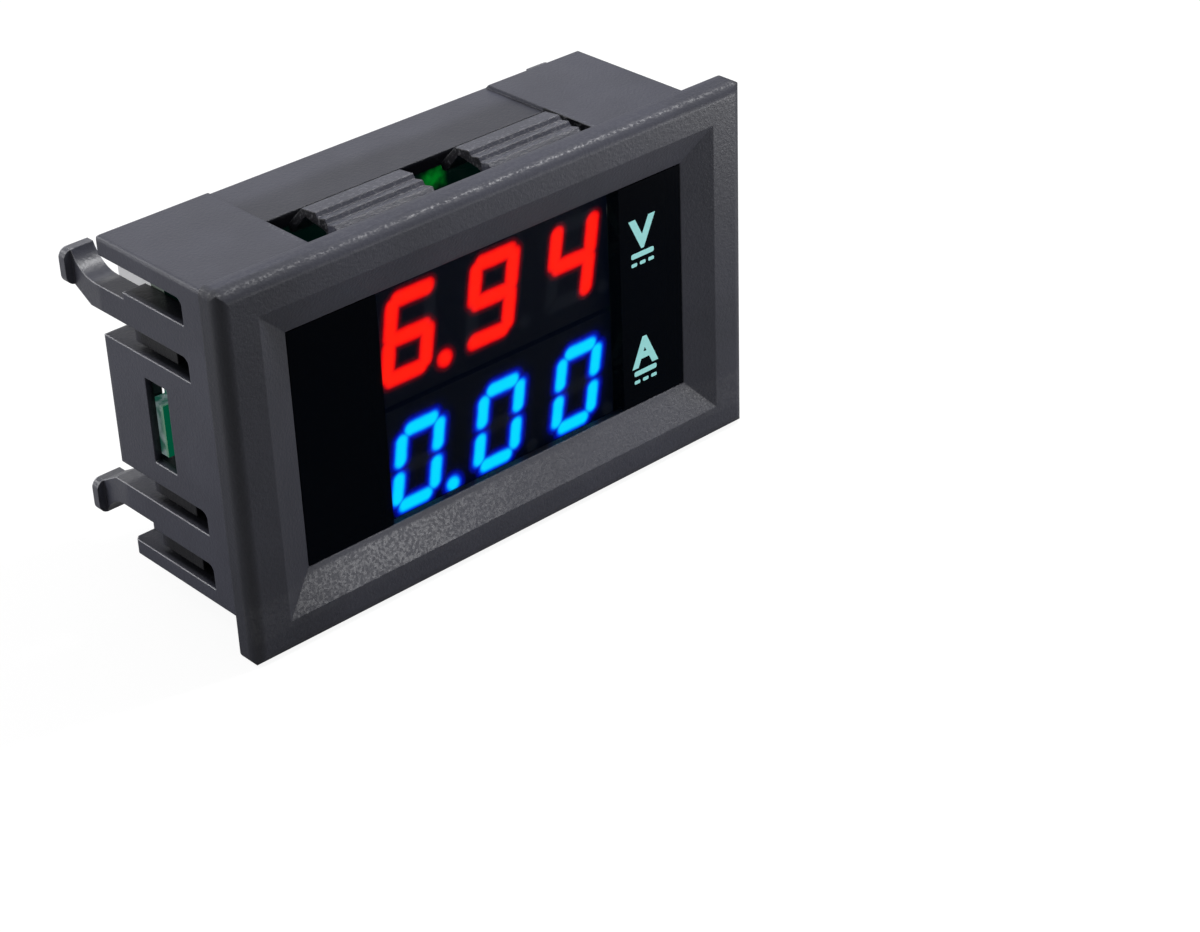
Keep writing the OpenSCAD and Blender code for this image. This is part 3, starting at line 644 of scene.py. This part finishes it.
# Room between a printed frame and the piece that it goes round
FRAME_ROOM = {
    "current_trimmer_base": 0.45 * MM, "voltage_trimmer_base": 0.45 * MM,
    "power_header": 0.4 * MM, "signal_header": 0.4 * MM,
}
CAP_L = 0.32 * MM
CAP_LIP = 0.03 * MM
CAP_ROUND = 0.05 * MM


def hollow(piece, width, thickness):
    """Turns a flat face on the board into a raised outline."""
    deselect()
    piece.select_set(True)
    bpy.context.view_layer.objects.active = piece
    bpy.ops.object.transform_apply(location=False, rotation=True, scale=True)
    bpy.ops.object.mode_set(mode="EDIT")
    bpy.ops.mesh.select_mode(type="FACE")
    bpy.ops.mesh.select_all(action="SELECT")
    bpy.ops.mesh.inset(thickness=width)
    bpy.ops.mesh.delete(type="FACE")
    bpy.ops.object.mode_set(mode="OBJECT")
    wall = piece.modifiers.new("thickness", "SOLIDIFY")
    wall.thickness = thickness
    wall.offset = 0
    bpy.ops.object.modifier_apply(modifier=wall.name)
    return piece


def frame_on_board(low_x, high_x, low_z, high_z):
    """A printed rectangle, drawn as an outline."""
    deselect()
    middle = ((low_x + high_x) / 2, BOARD_REAR + SILK_T / 2, (low_z + high_z) / 2)
    bpy.ops.mesh.primitive_plane_add(size=1, location=middle, rotation=(-math.pi / 2, 0, 0))
    sheet = bpy.context.object
    sheet.scale = (high_x - low_x, high_z - low_z, 1)
    return hollow(sheet, SILK_W, SILK_T)


def silkscreen(ink):
    """The printed outlines round the trimmers, the plug headers and the rows of chips."""
    frames = [frame_on_board(*(edge * MM for edge in chips)) for chips in CHIP_FRAMES]
    for node, room in FRAME_ROOM.items():
        low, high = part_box(node)
        frames.append(frame_on_board(low.x - room, high.x + room, low.z - room, high.z + room))
    settle(joined(frames), "silkscreen", ink)


def plated_ring(x, z, hole_d):
    """A tinned ring round a hole in the board."""
    deselect()
    bpy.ops.mesh.primitive_circle_add(
        vertices=24, radius=hole_d * MM / 2 + RING_W, fill_type="NGON",
        location=(x * MM, BOARD_REAR + RING_T / 2, z * MM), rotation=(-math.pi / 2, 0, 0),
    )
    return hollow(bpy.context.object, RING_W, RING_T)


def plated_holes():
    """Rings round the column of small holes at the board's end and round its two test holes."""
    first = plated_ring(VIA_X, VIA_TOP_Z, VIA_D)
    rings = [first] + [copied(first, Vector((0, 0, -i * VIA_PITCH * MM))) for i in range(1, VIA_COUNT)]
    rings += [plated_ring(x, z, TEST_HOLE_D) for x, z in TEST_HOLES]
    settle(joined(rings), "plated_rings", SLOT_FINISHES["tinned_metal"])


def islands(node):
    """The lowest and highest corner of each separate solid of a node."""
    mesh = frame["nodes"][node].data
    home = list(range(len(mesh.vertices)))

    def root(i):
        while home[i] != i:
            home[i] = home[home[i]]
            i = home[i]
        return i

    spots = {}
    for point in mesh.vertices:
        key = tuple(round(c * 1e6) for c in point.co)
        home[point.index] = spots.setdefault(key, point.index)
    for edge in mesh.edges:
        home[root(edge.vertices[0])] = root(edge.vertices[1])
    groups = {}
    for point in mesh.vertices:
        groups.setdefault(root(point.index), []).append(point.co)
    lows = [Vector(min(c[k] for c in group) for k in range(3)) for group in groups.values()]
    highs = [Vector(max(c[k] for c in group) for k in range(3)) for group in groups.values()]
    return list(zip(lows, highs))


def chip_ends():
    """Tinned caps over both ends of every chip resistor and capacitor, with one pattern for each size."""
    patterns = {}
    caps = []
    lip = Vector((CAP_LIP, CAP_LIP, CAP_LIP))
    for low, high in islands("chip_resistors") + islands("chip_capacitors"):
        long = 0 if high.x - low.x > high.z - low.z else 2
        low, high = low - lip, high + lip
        low.y = BOARD_REAR
        size = high - low
        size[long] = CAP_L
        key = tuple(round(length / MM, 3) for length in size)
        for start in (low[long], high[long] - CAP_L):
            corner = low.copy()
            corner[long] = start
            if key in patterns:
                first, first_corner = patterns[key]
                caps.append(copied(first, corner - first_corner))
            else:
                patterns[key] = (block(corner, corner + size, CAP_ROUND), corner)
                caps.append(patterns[key][0])
    settle(joined(caps), "chip_end_caps", SLOT_FINISHES["solder"])


# ---- Surroundings ----------------------------------------------------------

VIEW_AZIMUTH = -42.007
VIEW_ELEVATION = 30.754
VIEW_ROLL = -2.086
VIEW_AIM = Vector((10.292, 0, -13.586)) * MM
VIEW_DISTANCE = 210.587 * MM
LENS_MM = 82.39


def make_camera():
    """A camera above the meter's front left, turned a little about its own axis."""
    azimuth = math.radians(VIEW_AZIMUTH)
    elevation = math.radians(VIEW_ELEVATION)
    back = Vector((
        math.sin(azimuth) * math.cos(elevation), -math.cos(azimuth) * math.cos(elevation), math.sin(elevation)
    ))
    right = Vector((0, 0, 1)).cross(back).normalized()
    up = back.cross(right)
    turn = Matrix((right, up, back)).transposed().to_4x4()
    camera = bpy.data.objects.new("camera", bpy.data.cameras.new("camera"))
    camera.data.lens = LENS_MM
    camera.data.sensor_width = 36
    camera.data.clip_start = 0.01
    roll = Matrix.Rotation(math.radians(VIEW_ROLL), 4, "Z")
    camera.matrix_world = Matrix.Translation(VIEW_AIM + back * VIEW_DISTANCE) @ turn @ roll
    bpy.context.scene.collection.objects.link(camera)
    bpy.context.scene.camera = camera


def soft_light(name, place, size, power):
    """A square soft box that faces the meter: its place and width in metres, its power in watts."""
    lamp = bpy.data.lights.new(name, "AREA")
    lamp.shape = "SQUARE"
    lamp.size = size
    lamp.energy = power
    holder = bpy.data.objects.new(name, lamp)
    holder.location = place
    holder.rotation_euler = (-Vector(place)).to_track_quat("-Z", "Y").to_euler()
    holder.visible_camera = False
    bpy.context.scene.collection.objects.link(holder)


def make_studio():
    soft_light("overhead", (0.04, 0.02, 0.55), 0.5, 0.6)
    soft_light("key", (0.26, -0.056, 0.364), 0.055, 0.9)
    soft_light("left_rear", (-0.32, 0.40, 0.36), 0.07, 0.95)
    soft_light("left", (-0.42, 0.26, 0.06), 0.22, 1.0)
    soft_light("front_right", (0.062, -0.128, -0.010), 0.012, 0.018)
    soft_light("right_graze", (0.07, -0.045, 0.0), 0.02, 0.013)
    soft_light("rear_top", (0.25, 0.55, 0.30), 0.5, 0.45)
    soft_light("hook_spark", (0.115, -0.025, 0.170), 0.03, 0.10)
    soft_light("rear_fill", (-0.05, 0.60, 0.12), 0.4, 0.9)


WORLD_PLAIN = 0.10
WORLD_GLOSS = 0.2
FLOOR_LIFT = 0.5
FLOOR_GLOW = 1.82
FLOOR_RADIUS = 3.0
# Away from the meter's shadow the floor is lifted more, between these distances in millimetres
FLOOR_FAR_LIFT = 0.07
FLOOR_FAR = (150.0, 800.0)


def make_world():
    """Dim grey light on the object, with the white background seen directly and, softer, in gloss."""
    world = bpy.data.worlds.new("studio")
    bpy.context.scene.world = world
    world.use_nodes = True
    tree = world.node_tree
    path = tree.nodes.new("ShaderNodeLightPath")
    strength = None
    for ray, level in (("Is Glossy Ray", WORLD_GLOSS), ("Is Transmission Ray", 1.0), ("Is Camera Ray", 1.0)):
        lift = tree.nodes.new("ShaderNodeMapRange")
        lift.inputs["To Min"].default_value = WORLD_PLAIN
        lift.inputs["To Max"].default_value = level
        tree.links.new(path.outputs[ray], lift.inputs["Value"])
        if strength is None:
            strength = lift.outputs[0]
            continue
        larger = tree.nodes.new("ShaderNodeMath")
        larger.operation = "MAXIMUM"
        tree.links.new(strength, larger.inputs[0])
        tree.links.new(lift.outputs[0], larger.inputs[1])
        strength = larger.outputs[0]
    background = tree.nodes["Background"]
    background.inputs["Color"].default_value = (1, 1, 1, 1)
    tree.links.new(strength, background.inputs["Strength"])


def make_floor():
    """A wide pale sheet under the bezel's lower edge; seen directly it is lifted towards white."""
    deselect()
    bpy.ops.mesh.primitive_circle_add(
        vertices=96, radius=FLOOR_RADIUS, fill_type="NGON", location=(0, 0, CAD_BOX[0].z)
    )
    floor = bpy.context.object
    floor.name = "floor"
    finish = Finish("pale_floor")
    finish.set(Base_Color=(0.30, 0.30, 0.30), Roughness=0.9, Specular_IOR_Level=0.1)
    path = finish.tree.nodes.new("ShaderNodeLightPath")
    glow = finish.tree.nodes.new("ShaderNodeEmission")
    glow.inputs["Strength"].default_value = FLOOR_GLOW
    mix = finish.tree.nodes.new("ShaderNodeMixShader")
    x, y, _ = finish.axes()
    far = (x * x + y * y).over(*(distance ** 2 for distance in FLOOR_FAR))
    seen = Signal(finish, path.outputs["Is Camera Ray"]) * (FLOOR_LIFT + far * FLOOR_FAR_LIFT)
    finish.tree.links.new(seen.socket, mix.inputs[0])
    finish.tree.links.new(finish.shader.outputs[0], mix.inputs[1])
    finish.tree.links.new(glow.outputs[0], mix.inputs[2])
    finish.tree.links.new(mix.outputs[0], finish.tree.nodes["Material Output"].inputs["Surface"])
    floor.data.materials.append(finish.material)


make_camera()
dress_nodes()
INK = legend_ink()
unit_sign("V", "volt_sign", VOLT_Z, INK)
unit_sign("A", "ampere_sign", AMPERE_Z, INK)
silkscreen(plain("silkscreen_ink", (0.62, 0.64, 0.60), (0.78, 0.79, 0.74), 0.55))
plated_holes()
chip_ends()
make_floor()
make_world()
make_studio()
bpy.context.scene.view_settings.view_transform = "Standard"
